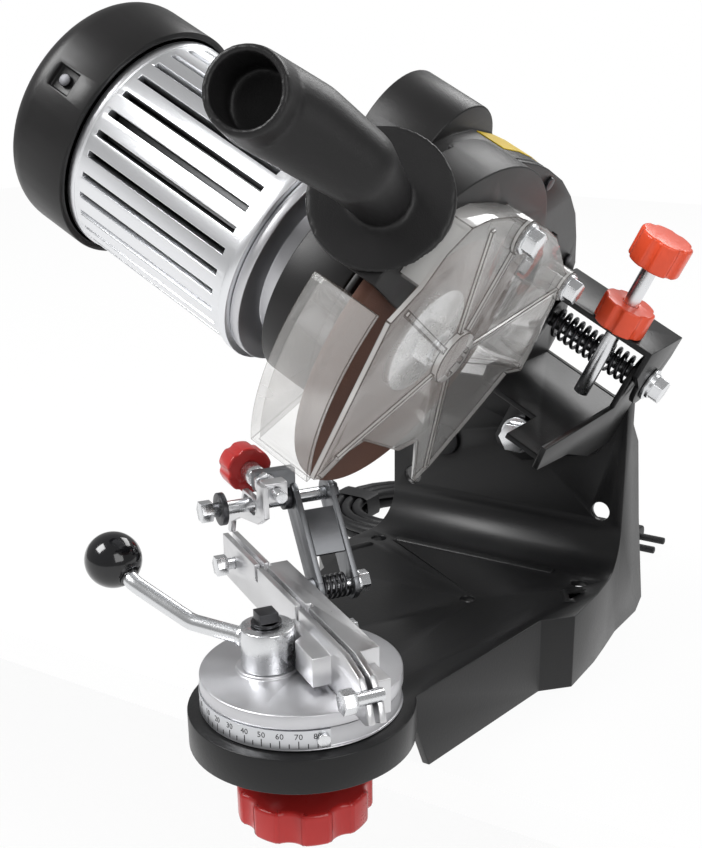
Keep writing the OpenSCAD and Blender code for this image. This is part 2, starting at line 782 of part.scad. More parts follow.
module stop_rod() {
  color(zinc) vise_place() translate([-stop_rod_a, 0, stop_rod_z]) {
    y_bar(-stop_rod_front, stop_rod_back, stop_rod_d / 2);
    y_hex(-stop_rod_front - 6, -stop_rod_front, 5.6);
  }
}

// Black disc at the front of the rod, the collar in front of the cheek and the rear nut
module stop_rings() {
  color(black) vise_place() translate([-stop_rod_a, 0, stop_rod_z]) difference() {
    union() {
      y_bar(-stop_rod_front + 3.5, -stop_rod_front + 6.5, 8.2);
      y_bar(cheek_n0 - 4.3, cheek_n0 - seat, 5.5);
      y_hex(cheek_n1 + cheek_t + seat, cheek_n1 + cheek_t + 2.8, 6);
    }
    y_bar(-stop_rod_front, stop_rod_back + over, stop_rod_d / 2 + fit);
  }
}

spring_curls = 5;
spring_r = 5.6;
wire_r = 0.8;
spring_pitch = (cheek_n1 - cheek_n0 - cheek_t - 2 * wire_r - 1) / spring_curls;
stop_spring_points = [for (i = [0:8 * spring_curls])
  [-stop_pivot_a + spring_r * cos(45 * i),
    cheek_n0 + cheek_t + wire_r + 0.5 + spring_pitch * i / 8,
    stop_pivot_z + spring_r * sin(45 * i)]];
echo("least gap inside the stop spring", clearance(stop_spring_points, 6, wire_r));

module stop_spring() {
  color(zinc) vise_place() tube(stop_spring_points, [0, 1, 0], wire_r, 6);
}

module stop_tongue() {
  thick0 = gap_n0 - 0.5;
  color(zinc) vise_place() difference() {
    union() {
      y_plate(thick0, thick0 + 3)
        polygon([[-114, jaw_top + 2], [-110.5, jaw_top + 2], [-108.5, 50], [-94, 57],
          [-68, 62], [-58, 68], [-58, 84], [-67, 84], [-68, 74.4], [-88, 74.4], [-94, 61],
          [-112, 53]]);
      translate([-68, thick0 + 2, stop_screw_z - 5]) cube([8, stop_screw_n + 6 - thick0 - 2, 10]);
    }
    translate([-stop_rod_a - tongue_travel - 0.2, thick0 - over, stop_rod_z - stop_rod_d / 2 - 0.3])
      cube([2 * tongue_travel + 0.4, 3 + 2 * over, stop_rod_d + 0.6]);
    for (side = [-1, 1])
      translate([-stop_rod_a + side * (tongue_travel + 0.2), 0, stop_rod_z])
        y_bar(thick0 - over, thick0 + 3 + over, stop_rod_d / 2 + 0.3);
    translate([0, stop_screw_n, stop_screw_z]) x_bar(-68 - over, -60 + over, stop_screw_r + fit);
  }
}

module stop_screw() {
  ring_a = lug_a - seat;
  color(zinc) vise_place() translate([0, stop_screw_n, stop_screw_z]) {
    x_bar(ring_a - ring_len - 12, -52, stop_screw_r);
    x_bar(ring_a - ring_len, ring_a, 5.4);
    x_hex(nut_a, nut_a + 3.4, 5.6);
  }
}

module stop_knob() {
  knob_a = lug_a - 2 * seat - ring_len;
  color(red) vise_place() translate([knob_a, stop_screw_n, stop_screw_z]) difference() {
    rotate([0, -90, 0]) knob_body(stop_knob_r, 15, 6);
    x_bar(-12.4, over, stop_screw_r + fit);
  }
}

// ---- Tilting bracket ---------------------------------------------------
plate_y1 = upright_y - seat;
plate_y0 = plate_y1 - fork_t;

module cheek_shape(front) {
  union() {
    translate([hinge_y, hinge_h]) circle(r = ear_r);
    polygon([[front, shelf_top + 8], [front + 4, shelf_top - 6], [-38, shelf_top - 10],
      [5, shelf_top - 26], [plate_y1 - 0.6, shelf_top - 26], [plate_y1 - 0.6, shelf_top + 8],
      [hinge_y + ear_r, hinge_h], [hinge_y - ear_r, hinge_h], [hinge_y - ear_r, shelf_top + 8]]);
  }
}

module tilt_bracket() {
  color(black) head_place() difference() {
    union() {
      y_plate(plate_y0, plate_y1)
        polygon([[-13, -9], [-9, -13], [9, -13], [15, -8], [fork_half + 1, 18], [fork_half + 1, shelf_top],
          [-bracket_left, shelf_top], [-13, 9]]);
      x_plate(fork_half, fork_half + fork_t) cheek_shape(-83);
      x_plate(-bracket_left, -bracket_left + fork_t)
        difference() {
          cheek_shape(-44);
          translate([-50, shelf_top - 40]) square([50, 36]);
        }
      translate([-bracket_left + 1, -43, shelf_top - fork_t - 0.4])
        cube([fork_half + bracket_left, 43 + plate_y0 + 1, fork_t]);
      translate([fork_half - 20, -76, shelf_top - fork_t - 0.4]) cube([21, 70, fork_t]);
    }
    at_hinge() x_bar(-bracket_left - over, fork_half + fork_t + over, hinge_d / 2 + fit);
    y_bar(plate_y0 - over, plate_y1 + over, tilt_bolt_d / 2 + fit);
  }
}

module hinge_bolt() {
  head0 = arm_right + seat;
  color(zinc) head_place() at_hinge() {
    x_bar(-arm_left - fork_t - 8, head0 + 2, hinge_d / 2);
    x_bar(head0, head0 + 1.8, 9);
    x_bar(head0 + 1.8, head0 + 3.8, 7);
    x_hex(head0 + 3.8, head0 + 9.4, 6.8);
  }
}

module hinge_nut() {
  nut1 = -arm_left - fork_t - seat;
  color(zinc) head_place() at_hinge() difference() {
    x_hex(nut1 - 5, nut1, 6.8);
    x_bar(nut1 - 5 - over, nut1 + over, hinge_d / 2 + fit);
  }
}

lift_curls = 12;
lift_r = 7.2;
lift_wire = 1;
lift_from = -bracket_left + fork_t + lift_wire + 0.6;
lift_pitch = (fork_half - lift_wire - 0.6 - lift_from) / lift_curls;
lift_points = [for (i = [0:8 * lift_curls])
  [lift_from + lift_pitch * i / 8, hinge_y + lift_r * cos(45 * i), hinge_h + lift_r * sin(45 * i)]];
echo("least gap inside the lifting spring", clearance(lift_points, 6, lift_wire));

module lift_spring() {
  color(zinc) head_place() tube(lift_points, [1, 0, 0], lift_wire, 6);
}

// ---- Head --------------------------------------------------------------
module housing_outline() {
  polygon([[28, 103], [26, 107], [6, 126], [-13, 142], [-32, 154], [-52, 164], [-75, 172],
    [-91, 176], [-109, 179], [-126, 178], [-137, 175], [-145, 170], [-151, 164], [-162, 158],
    [-183, 125], [-hub_y, hub_h_up - boss_r], [-60, 84], [10, 92], [28, 95]]);
  translate([-hub_y, hub_h_up]) circle(r = boss_r);
}

module housing_hollow() {
  polygon([[18, 101], [4, 118], [-15, 135], [-34, 147], [-54, 157], [-77, 165], [-109, 172],
    [-124, 171], [-133, 168], [-140, 158], [-140, 100], [-130, 80], [-60, 91], [6, 98]]);
  difference() {
    translate([-hub_y, hub_h_up]) circle(r = boss_r - house_wall);
    translate([-hub_y, hub_h_up]) circle(r = 20);
  }
}

lid_s0 = house_s1 - shell_t;
drum_y = -113;
drum_h = 158;
drum_r = 32;
drum_end = -77;

module head_housing() {
  color(black) head_place() difference() {
    union() {
      x_plate(house_s0, lid_s0 - seat) housing_outline();
      translate([0, drum_y, drum_h]) x_bar(drum_end, house_s0 + over, drum_r);
    }
    x_plate(house_s0 + shell_t, house_s1) housing_hollow();
    at_hub() x_bar(drum_end - over, house_s0, ring_r + 1.5);
    at_hub() x_bar(house_s0 - over, house_s1 + over, shaft_d / 2 + 2);
    for (p = lid_screws) translate([0, p[0], p[1]]) x_bar(lid_s0 - 12, house_s1, 1.8);
  }
}

lid_screws = [[8, 112], [-70, 165], [-138, 166], [-hub_y, hub_h_up - boss_r + 5]];
shell_screws = [[-hub_y - 38, hub_h_up + 6], [-hub_y - 38, hub_h_up - 8]];

// The hood is the lid's bulge over the wheel's top: a wall outside the wheel and a face beside it
hood_r = wheel_r + 3.5;
hood_s0 = 1.2;
hood_s1 = hood_s0 + 2.2;
hood_inner = 47;

module housing_lid() {
  color(black) head_place() difference() {
    union() {
      x_plate(lid_s0, house_s1) housing_outline();
      at_hub() {
        x_plate(house_s1 - over, hood_s1) hood_band(hood_r, [[0, 0], [-24, 140], [140, 140], [140, 84]]);
        x_plate(-16, hood_s1) hood_band(hood_r, [[0, 0], [-140, 81], [-140, 140], [-20, 140]]);
        x_plate(hood_s0, hood_s1)
          hood_band(hood_inner, [[0, 0], [-140, 81], [-140, 140], [140, 140], [140, 84]]);
      }
      translate([0, guard_bolt_at[1][0], guard_bolt_at[1][1]]) x_bar(house_s1 - over, hood_s1, 7);
    }
    at_hub() x_bar(lid_s0 - over, house_s1 + over, shaft_d / 2 + 2);
    for (p = lid_screws) translate([0, p[0], p[1]]) x_bar(lid_s0 - over, house_s1 + over, 1.8);
    for (p = guard_bolt_at) translate([0, p[0], p[1]]) x_bar(lid_s0 + 1.5, hood_s1 + over, 3 + fit);
    for (p = shell_screws) translate([0, p[0], p[1]])
      x_bar(lid_s0 - over, house_s1 + over, 1.75 + fit);
  }
}

module hood_band(inner, sector) {
  intersection() {
    difference() {
      circle(r = hood_r + shell_t);
      circle(r = inner);
    }
    polygon(sector);
  }
}

module housing_screws() {
  color(black) head_place() {
    for (p = lid_screws) translate([0, p[0], p[1]]) {
      x_bar(lid_s0 - 10, house_s1 + 0.1, 1.7);
      x_bar(house_s1 + 0.02, house_s1 + 1.6, 3.2);
    }
    for (p = shell_screws) translate([0, p[0], p[1]]) {
      x_bar(lid_s0 + 0.4, guard_s0 + guard_t + 0.1, 1.7);
      x_bar(guard_s0 + guard_t + 0.02, guard_s0 + guard_t + 1.4, 3.2);
    }
  }
}

module label_plate() {
  color(zinc) head_place() translate([0, 0, seat / 2]) x_plate(house_s0 + 3, house_s0 + 18)
    polygon([[-62, 167.5], [-75, 172], [-91, 176], [-108, 178.8], [-108, 179.2], [-91, 176.4],
      [-75, 172.4], [-62, 167.9]]);
}

module motor_bracket() {
  color(zinc) head_place() at_hub() difference() {
    union() {
      x_bar(face_s + seat, face_s + 5, motor_r - 1);
      x_bar(face_s + 5 - over, house_s0 - seat, motor_r * 0.72);
    }
    x_bar(face_s, house_s0, shaft_d / 2 + 1);
    x_bar(bearing_s, house_s0, bearing_r + fit);
  }
}

bearing_r = 14;
bearing_w = 9;
bearing_s = house_s0 - seat - bearing_w - 0.5;
rear_bearing_s = motor_end + 2;

module bearings() {
  color(zinc) head_place() at_hub() for (s = [bearing_s + seat, rear_bearing_s]) difference() {
    x_bar(s, s + bearing_w, bearing_r);
    x_bar(s - over, s + bearing_w + over, shaft_d / 2 + fit);
  }
}

stator_s0 = motor_end + 16;
stator_s1 = face_s - 12;
stator_out = motor_r - slot_depth - 3.7;
rotor_r = 24;

module motor_body() {
  color(cast) head_place() at_hub() difference() {
    union() {
      x_bar(motor_end, face_s - 3, motor_r);
      x_bar(face_s - 4, face_s, ring_r);
      x_bar(motor_end, motor_end + 4, ring_r - 1);
    }
    x_bar(motor_end + 12, face_s + over, stator_out + seat);
    x_bar(rear_bearing_s - seat, motor_end + 13, bearing_r + fit);
    x_bar(motor_end - over, motor_end + 3, shaft_d / 2 + 2);
    for (i = [0:slot_n - 1]) rotate([360 * (i + 0.5) / slot_n, 0, 0])
      translate([motor_end + 7, -slot_w / 2, motor_r - slot_depth])
        cube([motor_len - 16, slot_w, slot_depth + 3]);
  }
}

module stator() {
  color(copper) head_place() at_hub() difference() {
    x_bar(stator_s0, stator_s1, stator_out);
    x_bar(stator_s0 - over, stator_s1 + over, rotor_r + 1);
  }
}

module motor_cap() {
  round_r = 12;
  color(black) head_place() at_hub() difference() {
    union() {
      for (i = [0:2]) rotate([120 * i + cap_turn, 0, 0])
        translate([cap_end + 12, -7, cap_r - 7]) cube([15, 14, 5]);
    translate([motor_end - seat, 0, 0]) rotate([0, -90, 0]) rotate_extrude() difference() {
      union() {
        square([cap_r - round_r, cap_len]);
        square([cap_r, cap_len - round_r]);
        translate([cap_r - round_r, cap_len - round_r]) circle(r = round_r);
      }
      translate([-over, -over]) square([cap_r - shell_t - round_r + over, cap_len - shell_t + over]);
      translate([-over, -over]) square([cap_r - shell_t + over, cap_len - shell_t - round_r + over]);
      translate([cap_r - shell_t - round_r, cap_len - shell_t - round_r]) circle(r = round_r);
      translate([-cap_len, -over]) square([cap_len, 3 * cap_len]);
    }
    }
    for (i = [0:2]) rotate([120 * i + cap_turn, 0, 0])
      translate([cap_end + 14, -5, cap_r - pocket]) cube([11, 10, 6]);
  }
}

cap_turn = 62;
pocket = 2.4;

module cap_screws() {
  color(zinc) head_place() at_hub() for (i = [0:2]) rotate([120 * i + cap_turn, 0, 0])
    translate([cap_end + 19.5, 0, cap_r - pocket + 0.02]) cylinder(h = 1.6, r = 2.6);
}

// ---- Guard -------------------------------------------------------------
guard_bolt_at = [[-bolt_y1, bolt_h1], [-bolt_y2, bolt_h2]];
cover_points = [[-68, 31], [-55, 43], [-48, 56], [-37, 65], [-24, 67], [-2, 65], [15, 61],
  [35, 55], [52, 48], [67, 38], [87, 24], [92, 8], [95, -12], [97, -32], [79, -29], [62, -49],
  [52, -59], [42, -70], [31, -77], [11, -47], [-5, -47], [-44, -29], [-54, -31], [-66, -40],
  [-73, -38]];
rim_over_wheel = 9;
rim_end = 13;

module guard_shell() {
  color(clear) head_place() at_hub() difference() {
    union() {
      x_plate(guard_s0 + guard_t - over, cover_s0 - seat) intersection() {
        difference() {
          circle(r = guard_r);
          circle(r = guard_r - guard_t);
        }
        polygon([[0, 0], [-200, 92], [-200, -116]]);
      }
      x_plate(guard_s0, guard_s0 + guard_t) intersection() {
        difference() {
          circle(r = guard_r);
          circle(r = 28);
        }
        polygon([[0, 0], [-200, 92], [-200, -116]]);
      }
    }
    for (p = shell_screws) translate([0, p[0] + hub_y, p[1] - hub_h_up])
      x_bar(guard_s0 - over, guard_s0 + guard_t + over, 1.75 + fit);
  }
}

// Right-hand normal of the edge that runs from p to q, and an outline moved in by t
function edge_normal(p, q) = [q[1] - p[1], p[0] - q[0]] / norm(q - p);
function moved_in(points, t) = [for (i = [0:len(points) - 1])
  let (n = edge_normal(points[(i + len(points) - 1) % len(points)], points[i]),
    m = edge_normal(points[i], points[(i + 1) % len(points)]))
  points[i] + t * (n + m) / (1 + n * m)];

// Wall that follows the cover's edge from one of its points to another
module cover_rim(first, last) {
  intersection() {
    difference() {
      polygon(cover_points);
      polygon(moved_in(cover_points, guard_t));
    }
    polygon(concat([[0, 0]], [for (i = [first:last]) 1.3 * cover_points[i]]));
  }
}

module wheel_cover() {
  rib_ends = [[-64, -30], [-60, 34], [-20, 62], [9, 50], [84, 17], [88, -26], [33, -68]];
  color(clear) head_place() at_hub() difference() {
    union() {
      x_plate(cover_s0, guard_s1) polygon(cover_points);
      x_plate(hood_s1 + seat, cover_s0 + over) cover_rim(1, rim_over_wheel);
      x_plate(guard_s0 + guard_t + seat, cover_s0 + over) cover_rim(rim_over_wheel, rim_end);
      x_plate(guard_s1 - over, guard_s1 + 3) translate([-2, 2]) circle(r = 12);
      for (q = rib_ends) x_plate(guard_s1 - over, guard_s1 + 1.6)
        rotate([0, 0, atan2(q[1], q[0])]) translate([0, -1.2]) square([norm(q), 2.4]);
      for (p = guard_bolt_at) translate([0, p[0] + hub_y, p[1] - hub_h_up])
        x_bar(hood_s1 + seat, guard_s1 + 2, 7.5);
    }
    for (p = guard_bolt_at) translate([0, p[0] + hub_y, p[1] - hub_h_up]) {
      x_bar(hood_s0, guard_s1 + 2 * over + 1, 3 + fit);
      x_bar(guard_s0, hood_s1 + seat, 7 + seat);
    }
  }
}

module guard_bolts() {
  color(zinc) head_place() for (i = [0:1]) translate([0, guard_bolt_at[i][0], guard_bolt_at[i][1]]) {
    x_bar(i == 0 ? hood_s0 - 0.4 : lid_s0 + 1.6, guard_s1 + 4, 3);
    x_bar(guard_s1 + 2.02, guard_s1 + 3.6, 6.5);
    x_hex(guard_s1 + 3.6, guard_s1 + 8.6, 5.6);
  }
}

// ---- Rotor and wheel ---------------------------------------------------
module motor_shaft() {
  color(zinc) head_place() at_hub() x_bar(cap_end + 12, 11, shaft_d / 2);
}

module rotor() {
  color(copper) head_place() at_hub() difference() {
    x_bar(stator_s0 + 1, stator_s1 - 1, rotor_r);
    x_bar(stator_s0, stator_s1, shaft_d / 2 + fit);
  }
}

module cooling_fan() {
  fan_s = motor_end - 13;
  color(black) head_place() at_hub() difference() {
    union() {
      x_bar(fan_s, fan_s + 10, 11);
      x_bar(fan_s, fan_s + 1.6, 40);
      for (i = [0:8]) rotate([40 * i, 0, 0]) translate([fan_s + over, -0.8, 10]) cube([9, 1.6, 30]);
    }
    x_bar(fan_s - over, fan_s + 10 + over, shaft_d / 2 + fit);
  }
}

module grinding_wheel() {
  color(brown) head_place() at_hub() difference() {
    union() {
      x_bar(-wheel_t, 0, wheel_r - wheel_t / 2);
      translate([-wheel_t / 2, 0, 0]) rotate([0, 90, 0]) rotate_extrude()
        translate([wheel_r - wheel_t / 2, 0]) circle(r = wheel_t / 2);
    }
    x_bar(-wheel_t - over, over, wheel_bore / 2);
  }
}

module wheel_flanges() {
  color(zinc) head_place() at_hub() difference() {
    union() {
      x_bar(-wheel_t - 6, -wheel_t, 24);
      x_bar(-wheel_t - over, -0.3, wheel_bore / 2 - fit);
    }
    x_bar(-wheel_t - 6 - over, over, shaft_d / 2 + fit);
  }
}

module wheel_nut() {
  color(zinc) head_place() at_hub() difference() {
    union() {
      x_bar(0.02, 3, 24);
      x_hex(3 - 0.01, 9, 10);
    }
    x_bar(-over, 9 + over, shaft_d / 2 + fit);
  }
}

// ---- Arm ---------------------------------------------------------------
module arm_side(front) {
  difference() {
    union() {
      translate([hinge_y, hinge_h]) circle(r = ear_r);
      polygon([[front, arm_top], [front, arm_top - 15], [hinge_y - ear_r, hinge_h],
        [hinge_y + ear_r, hinge_h], [31, arm_top - 12], [31, arm_top]]);
    }
    translate([hinge_y, hinge_h]) circle(r = hinge_d / 2 + fit);
  }
}

module head_arm() {
  color(black) head_place() difference() {
    union() {
      x_plate(fork_half + 6, arm_right) arm_side(-14);
      x_plate(-arm_left - fork_t + seat, -arm_left + seat) arm_side(-62);
      translate([-arm_left, -14, arm_top - fork_t]) cube([arm_left + arm_right - 1, 45, fork_t]);
    }
    translate([depth_s, -depth_y, arm_top - fork_t - over])
      cylinder(h = fork_t + 2 * over, d = depth_d + 2 * fit);
    for (y = [-54, -22]) translate([0, y, arm_top - 7]) x_bar(-arm_left - fork_t - over, 0, 2.6);
  }
}

module arm_screws() {
  color(zinc) head_place() for (y = [-54, -22]) translate([0, y, arm_top - 7]) {
    x_bar(house_s1 + 0.02, -arm_left + seat + 0.4, 2.5);
    x_bar(-arm_left + seat + 0.4, -arm_left + seat + 3, 4.6);
  }
}

// ---- Depth stop --------------------------------------------------------
module depth_screw() {
  color(zinc) head_place() translate([depth_s, -depth_y, 0]) {
    translate([0, 0, tip_h]) cylinder(h = rod_top + 6 - tip_h, d = depth_d);
  }
}

module depth_knob() {
  color(red) head_place() translate([depth_s, -depth_y, rod_top]) difference() {
    knob_body(knob_r, knob_h, 6);
    translate([0, 0, -over]) cylinder(h = over + 6.3, d = depth_d + 2 * fit);
  }
}

module lock_knob() {
  color(red) head_place() translate([depth_s, -depth_y, lock_z]) difference() {
    knob_body(knob_r, lock_h, 6);
    translate([0, 0, -over]) cylinder(h = lock_h + 2 * over, d = depth_d + 2 * fit);
  }
}

// ---- Handle and switch -------------------------------------------------
disc_at = [-14, -223.7, 175.2];
disc_tilt = 55;
grip_path = [[-12.7, -231.2, 180.5, grip_r - 4.5], [-15.2, -248.7, 191.3, grip_r - 2],
  [-30.2, -262.2, 197.3, grip_r], [-40.7, -275, 201.2, grip_r], [-38.8, -286.7, 206.1, grip_end_r]];

module grip_part(i) {
  hull() for (k = [i, i + 1]) let (p = grip_path[k])
    translate([p[0], p[1], p[2]]) sphere(r = p[3], $fn = 32);
}

module handle() {
  last = grip_path[len(grip_path) - 1];
  before = grip_path[len(grip_path) - 2];
  way = unit([last[0] - before[0], last[1] - before[1], last[2] - before[2]]);
  color(black) head_place() difference() {
    union() {
      translate(disc_at) rotate([disc_tilt, 0, 10]) cylinder(h = 5, r = disc_r, $fn = 48);
      for (i = [0:len(grip_path) - 2]) grip_part(i);
    }
    translate([last[0], last[1], last[2]])
      rotate([0, acos(way[2]), atan2(way[1], way[0])]) {
        translate([0, 0, -14]) cylinder(h = 60, r = grip_end_r - 3, $fn = 32);
        translate([0, 0, 4]) cylinder(h = 60, r = grip_end_r + 4, $fn = 32);
      }
    x_plate(house_s0 - seat, house_s1 + seat) offset(delta = 0.15) housing_outline();
    at_hub() x_bar(motor_end, house_s0, ring_r + seat);
    at_hub() x_bar(-18, hood_s1 + 14, hood_r + shell_t + seat);
  }
}

switch_at = [-30, 121];
switch_turn = -38;
switch_w = 17;
switch_l = 25;

module at_switch() {
  head_place() translate([house_s1, switch_at[0], switch_at[1]]) rotate([switch_turn, 0, 0]) children();
}

module switch_frame() {
  color(black) at_switch() translate([seat, 0, 0]) difference() {
    translate([0, -switch_l / 2, -switch_w / 2]) cube([3.4, switch_l, switch_w]);
    translate([0.8, -switch_l / 2 + 2.4, -switch_w / 2 + 2.4]) cube([4, switch_l - 4.8, switch_w - 4.8]);
  }
}

rocker_rest = 8;

module switch_rocker() {
  half = switch_l / 2 - 3.4;
  color(red) at_switch() translate([1.4, 0, 0]) rotate([0, 0, rocker_rest])
    translate([0, 0, 3 - switch_w / 2]) linear_extrude(switch_w - 6)
      polygon([[0, 0], [2.2, -half], [4.6, -half], [2.8, 0], [4.6, half], [2.2, half]]);
}

base_frame();
cord_grommet();
cord_lead();
cord_coil();
cord_tail();
mains_plug();
tilt_bolt();
turntable();
scale_strip();
scale_screws();
rear_jaw();
jaw_screws();
front_jaw();
cam_post();
cam_hub();
lever_rod();
lever_ball();
clamp_stud();
clamp_collar();
clamp_knob();
stop_bolt();
stop_plate();
stop_rod();
stop_rings();
stop_spring();
stop_tongue();
stop_screw();
stop_knob();
tilt_bracket();
hinge_bolt();
hinge_nut();
lift_spring();
head_housing();
housing_lid();
housing_screws();
label_plate();
motor_bracket();
bearings();
motor_body();
stator();
motor_cap();
cap_screws();
guard_shell();
wheel_cover();
guard_bolts();
motor_shaft();
rotor();
cooling_fan();
grinding_wheel();
wheel_flanges();
wheel_nut();
head_arm();
arm_screws();
depth_screw();
depth_knob();
lock_knob();
handle();
switch_frame();
switch_rocker();
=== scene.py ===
# %% [markdown]
# # A bench grinder for saw chains
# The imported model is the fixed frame. Every piece made below rides on one of its bodies, in metres,
# with +Z up, +X to the grinding wheel's side and -Y towards the vise.

# %% Load the fixed frame
import json
import math

import bpy
from mathutils import Matrix, Vector

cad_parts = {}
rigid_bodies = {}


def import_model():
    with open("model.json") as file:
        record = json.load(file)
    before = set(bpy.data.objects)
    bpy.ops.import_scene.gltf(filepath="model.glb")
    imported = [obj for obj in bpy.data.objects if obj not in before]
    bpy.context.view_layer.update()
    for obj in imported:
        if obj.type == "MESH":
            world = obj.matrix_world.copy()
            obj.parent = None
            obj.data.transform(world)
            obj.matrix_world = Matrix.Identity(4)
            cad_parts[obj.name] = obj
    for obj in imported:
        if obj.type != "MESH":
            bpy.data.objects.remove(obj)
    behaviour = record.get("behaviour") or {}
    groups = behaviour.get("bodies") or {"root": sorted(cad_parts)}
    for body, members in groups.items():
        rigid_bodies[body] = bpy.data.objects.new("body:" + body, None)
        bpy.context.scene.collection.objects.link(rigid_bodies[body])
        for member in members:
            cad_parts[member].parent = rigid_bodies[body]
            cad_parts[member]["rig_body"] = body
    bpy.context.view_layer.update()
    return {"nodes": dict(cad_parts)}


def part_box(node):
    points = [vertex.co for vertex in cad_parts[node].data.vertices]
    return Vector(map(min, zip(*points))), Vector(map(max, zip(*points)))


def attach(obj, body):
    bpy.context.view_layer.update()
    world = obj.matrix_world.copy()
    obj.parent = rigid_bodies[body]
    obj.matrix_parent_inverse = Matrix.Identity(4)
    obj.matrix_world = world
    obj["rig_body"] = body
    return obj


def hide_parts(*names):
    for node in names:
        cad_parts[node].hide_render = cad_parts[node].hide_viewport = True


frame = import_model()
scene = bpy.context.scene
scene.view_settings.view_transform = "Standard"

# %% [markdown]
# The camera comes first. Its place, lens and shift were fitted to the table's circle, the upright's
# edges and the vise's jaw, so what is modelled below can be set against the picture piece by piece.

# %% Camera
CAMERA_AT = (0.3195, -0.6111, 0.2882)
CAMERA_BACK = Vector((0.486, -0.803, 0.344))
view = bpy.data.cameras.new("view")
view.lens = 54.1
view.sensor_width = 36
view.shift_x = -0.0588
view.shift_y = 0.0916
camera = bpy.data.objects.new("camera", view)
camera.location = CAMERA_AT
camera.rotation_euler = (-CAMERA_BACK).to_track_quat("-Z", "Y").to_euler()
scene.collection.objects.link(camera)
scene.camera = camera
print("camera at", tuple(camera.location))

# %% [markdown]
# The mains cord is 7 mm thick. It drops from the grommet in the upright, lies down on the bench and
# is put away in a flat coil of two layers behind the bracket, where the bracket hides it. One open
# curve holds the whole length; the spiral winds in along the bench and out again one layer up. The
# route is in millimetres until its last line.

# %% The cord's route
CORD_R = 0.0035
LIE_Z = -38.3
COIL_AT = (-122.0, 124.0)
COIL_INNER_R = 31
COIL_STEP = 7.8
LAYER_TURNS = 3
TURN_POINTS = 24
EASE = 0.25


def spread(turns):
    return turns * turns / (2 * EASE) if turns < EASE else turns - EASE / 2


def climbed(share):
    share = max(0.0, min(1.0, share))
    return share * share * (3 - 2 * share)


def coil_place(turn):
    radius = COIL_INNER_R + COIL_STEP * spread(abs(turn - LAYER_TURNS))
    angle = 2 * math.pi * turn
    height = LIE_Z + COIL_STEP * climbed((turn - LAYER_TURNS + EASE) / (2 * EASE))
    return Vector((COIL_AT[0] + radius * math.cos(angle), COIL_AT[1] + radius * math.sin(angle), height))


def smoothed(route, steps):
    points = []
    for i in range(len(route) - 1):
        a, b, c, d = (Vector(route[max(0, min(len(route) - 1, i + k))]) for k in (-1, 0, 1, 2))
        for step in range(steps):
            t = step / steps
            points.append(0.5 * (2 * b + (c - a) * t + (2 * a - 5 * b + 4 * c - d) * t * t
                                 + (3 * b - a - 3 * c + d) * t ** 3))
    return points + [Vector(route[-1])]


coil = [coil_place(i / TURN_POINTS) for i in range(2 * LAYER_TURNS * TURN_POINTS + 1)]
lead = smoothed([(-40, 50.8, 58), (-40, 58.6, 58), (-41, 70, 55), (-43, 81, 46), (-47, 88, 32),
                 (-52, 92, 16), (-57, 95, 0), (-61, 98, -14), (-64, 102, -27), (-66, 107, -35.4),
                 (-68, 113, -38.3), coil[0] - Vector((0, 5, 0)), coil[0]], 4)
tail = smoothed([coil[-1], coil[-1] + Vector((0, 7, 0)), (-67, 140, -31), (-62, 149, -33),
                 (-54, 157, -36), (-44, 162, -38.2), (-32, 164, -38.3), (-20, 164, -38.3),
                 (-12, 164, -38.3)], 4)
route = [point / 1000 for point in lead[:-1] + coil + tail[1:]]
cord_length = sum((b - a).length for a, b in zip(route, route[1:]))
print("the cord is", round(cord_length, 3), "m long, along", len(route), "points")


# %% [markdown]
# A round wire is a curve with a bevel. Its thickness is the radius of each point, with a bevel depth
# of one, because Blender counts that radius in the curve's box. The springs and the lever use the
# same helper; they are then made meshes, so that edges and caps can be finished.

# %% A wire along points
def wire(name, points, radius, sides=6):
    line = bpy.data.curves.new(name, "CURVE")
    line.dimensions = "3D"
    line.bevel_depth = 1
    line.bevel_resolution = sides
    line.use_fill_caps = True
    spline = line.splines.new("POLY")
    spline.points.add(len(points) - 1)
    for place, point in zip(spline.points, points):
        place.co = (*point, 1)
        place.radius = radius
    piece = bpy.data.objects.new(name, line)
    scene.collection.objects.link(piece)
    return piece


cord = wire("mains_cord", route, CORD_R)
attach(cord, "base")
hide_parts("cord_lead", "cord_coil", "cord_tail")
print("cord made")


# %% [markdown]
# Shader maths reads better as expressions. A Value wraps one socket, and its operators add the Math
# nodes; a Finish is one material with a single method that adds any other node.

# %% Shader expressions
class Value:
    def __init__(self, finish, socket):
        self.finish = finish
        self.socket = socket

    def math(self, operation, a, b=0.0):
        return self.finish.node("Math", {"operation": operation}, {0: a, 1: b})

    def __add__(self, other):
        return self.math("ADD", self, other)

    def __rsub__(self, other):
        return self.math("SUBTRACT", other, self)

    def __mul__(self, other):
        return self.math("MULTIPLY", self, other)

    def __pow__(self, other):
        return self.math("POWER", self, other)


